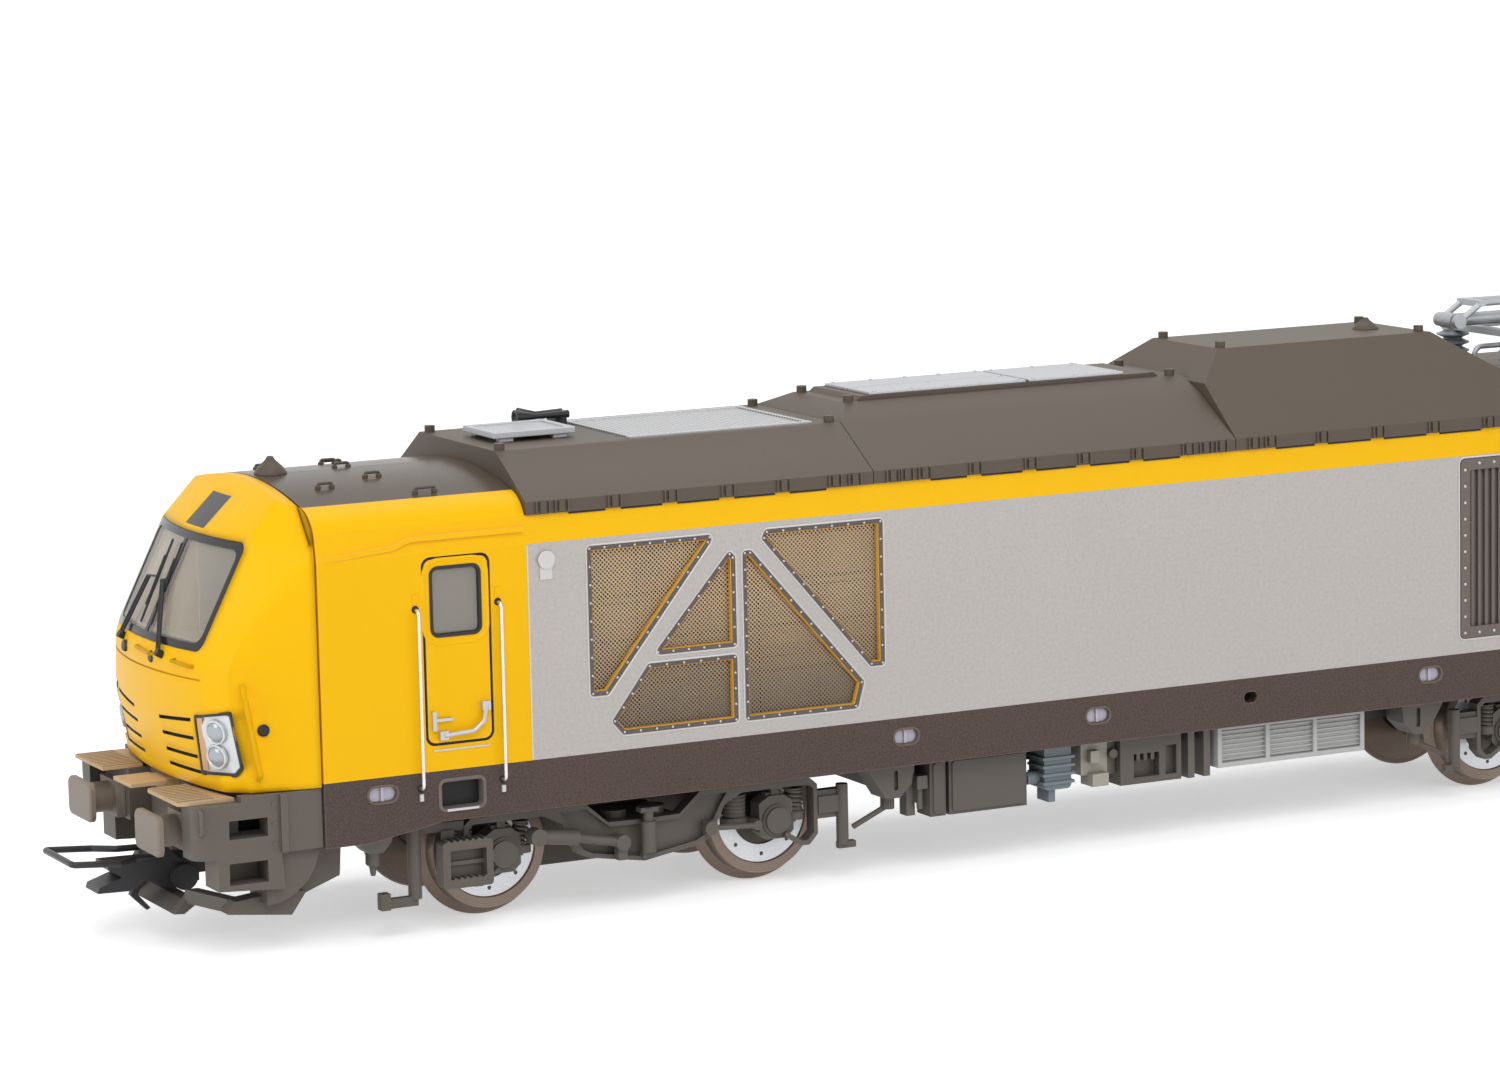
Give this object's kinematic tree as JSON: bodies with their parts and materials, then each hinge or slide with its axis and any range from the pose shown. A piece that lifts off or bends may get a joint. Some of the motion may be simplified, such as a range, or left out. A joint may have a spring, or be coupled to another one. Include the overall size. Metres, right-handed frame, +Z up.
{
  "type": "scale model locomotive",
  "caption": "Scale model of a dual-mode diesel and electric locomotive, with swivelling bogies, turning wheelsets, swinging loop couplers and a folding pantograph.",
  "frame": {"origin": "centre of the locomotive's length and width, at the lowest point of the wheel flanges", "axes": "+X along the locomotive towards end 2, the pantograph end, +Y to the left seen from end 1 looking along +X, +Z up"},
  "size_m": [0.2418, 0.0366, 0.0554],
  "materials": {
    "body_paint": "satin paint, silver wall, yellow cabs and brown sole bars",
    "cab_yellow": "satin yellow paint",
    "black_gloss": "gloss black",
    "black_satin": "satin black",
    "clear_glass": "clear",
    "lamp_lens": "clear moulded",
    "skirt_plastic": "fine matt",
    "bright_wire": "bright drawn",
    "silver_plastic": "silver paint",
    "roof_paint": "matt brown grey",
    "etched_metal": "etched and perforated",
    "insulator_grey": "satin",
    "pantograph_silver": "satin silver",
    "filter_plastic": "matt tan",
    "louvre_paint": "matt dark brown",
    "chassis_metal": "blackened casting",
    "motor_steel": "plain",
    "bogie_plastic": "matt brown grey",
    "grid_plastic": "light grey",
    "cab_plastic": "light grey",
    "wheel_metal": "turned, browned rim",
    "coupler_plastic": "satin black"
  },
  "bodies": {
    "loco": {"air_gear": "bogie_plastic", "body_shell": "body_paint", "buffers": "skirt_plastic", "cab_front_1": "cab_yellow", "cab_front_2": "cab_yellow", "cab_interior_1": "cab_plastic", "cab_interior_2": "cab_plastic", "chassis": "chassis_metal", "door_handles": "silver_plastic", "door_handrails": "bright_wire", "door_windows": "clear_glass", "end_treads": "skirt_plastic", "front_skirt_1": "skirt_plastic", "front_skirt_2": "skirt_plastic", "headlights": "lamp_lens", "intake_cassettes": "filter_plastic", "intake_meshes": "etched_metal", "louvre_panels": "louvre_paint", "motor_block": "motor_steel", "pantograph_frame": "pantograph_silver", "pantograph_insulators": "insulator_grey", "radiator_grids": "grid_plastic", "roof_conductor": "pantograph_silver", "roof_cover_1": "roof_paint", "roof_cover_2": "roof_paint", "roof_cover_3": "roof_paint", "roof_cover_4": "roof_paint", "roof_domes": "roof_paint", "roof_horns": "black_satin", "roof_mesh": "etched_metal", "roof_panels": "silver_plastic", "roof_tray": "silver_plastic", "side_lamps": "lamp_lens", "top_lamps": "black_gloss", "underframe_cases": "bogie_plastic", "underframe_tanks": "bogie_plastic", "windscreen_frames": "black_gloss", "windscreens": "clear_glass", "wipers": "black_satin"},
    "bogie_1": {"bogie_frame_1": "bogie_plastic", "gear_case_1": "bogie_plastic", "bogie_springs_1": "bogie_plastic", "bogie_dampers_1": "bogie_plastic", "bogie_steps_1": "bogie_plastic"},
    "coupler_1": {"coupler_1": "coupler_plastic"},
    "coupler_loop_1": {"coupler_loop_1": "coupler_plastic"},
    "bogie_2": {"bogie_frame_2": "bogie_plastic", "gear_case_2": "bogie_plastic", "bogie_springs_2": "bogie_plastic", "bogie_dampers_2": "bogie_plastic", "bogie_steps_2": "bogie_plastic"},
    "coupler_2": {"coupler_2": "coupler_plastic"},
    "coupler_loop_2": {"coupler_loop_2": "coupler_plastic"},
    "wheelset_1": {"wheelset_1": "wheel_metal"},
    "wheelset_2": {"wheelset_2": "wheel_metal"},
    "wheelset_3": {"wheelset_3": "wheel_metal"},
    "wheelset_4": {"wheelset_4": "wheel_metal"},
    "pantograph_lower_arm": {"pantograph_lower_arm": "pantograph_silver"},
    "pantograph_upper_arm": {"pantograph_upper_arm": "pantograph_silver"},
    "pantograph_head": {"pantograph_head": "pantograph_silver"}
  },
  "joints": [
    {"name": "bogie_swivel_1", "type": "hinge", "parent": "loco", "child": "bogie_1", "pos_m": [-0.06207, 0, 0.012], "axis": [0, 0, 1], "range_deg": [-10, 10]},
    {"name": "bogie_swivel_2", "type": "hinge", "parent": "loco", "child": "bogie_2", "pos_m": [0.06207, 0, 0.012], "axis": [0, 0, 1], "range_deg": [-10, 10]},
    {"name": "wheel_turn_1", "type": "hinge", "parent": "bogie_1", "child": "wheelset_1", "pos_m": [-0.07777, 0, 0.00732], "axis": [0, 1, 0], "continuous": true},
    {"name": "wheel_turn_2", "type": "hinge", "parent": "bogie_1", "child": "wheelset_2", "pos_m": [-0.04637, 0, 0.00732], "axis": [0, 1, 0], "continuous": true},
    {"name": "wheel_turn_3", "type": "hinge", "parent": "bogie_2", "child": "wheelset_3", "pos_m": [0.04637, 0, 0.00732], "axis": [0, 1, 0], "continuous": true},
    {"name": "wheel_turn_4", "type": "hinge", "parent": "bogie_2", "child": "wheelset_4", "pos_m": [0.07777, 0, 0.00732], "axis": [0, 1, 0], "continuous": true},
    {"name": "coupler_swing_1", "type": "hinge", "parent": "loco", "child": "coupler_1", "pos_m": [-0.101, 0, 0.0072], "axis": [0, 0, 1], "range_deg": [-15, 15]},
    {"name": "loop_lift_1", "type": "hinge", "parent": "coupler_1", "child": "coupler_loop_1", "pos_m": [-0.1106, 0, 0.0089], "axis": [0, 1, 0], "range_deg": [0, 15]},
    {"name": "coupler_swing_2", "type": "hinge", "parent": "loco", "child": "coupler_2", "pos_m": [0.101, 0, 0.0072], "axis": [0, 0, 1], "range_deg": [-15, 15]},
    {"name": "loop_lift_2", "type": "hinge", "parent": "coupler_2", "child": "coupler_loop_2", "pos_m": [0.1106, 0, 0.0089], "axis": [0, -1, 0], "range_deg": [0, 15]},
    {"name": "pantograph_raise", "type": "hinge", "parent": "loco", "child": "pantograph_lower_arm", "pos_m": [0.068, 0, 0.0526], "axis": [0, 1, 0], "range_deg": [0, 50]},
    {"name": "pantograph_knee", "type": "hinge", "parent": "pantograph_lower_arm", "child": "pantograph_upper_arm", "pos_m": [0.048, 0, 0.0526], "axis": [0, -1, 0], "range_deg": [0, 100]},
    {"name": "pantograph_head_tilt", "type": "hinge", "parent": "pantograph_upper_arm", "child": "pantograph_head", "pos_m": [0.068, 0, 0.0545], "axis": [0, 1, 0], "range_deg": [0, 50]}
  ],
  "couplings": [
    {"joint": "pantograph_knee", "follows": "pantograph_raise", "ratio": 2},
    {"joint": "pantograph_head_tilt", "follows": "pantograph_raise", "ratio": 1}
  ]
}
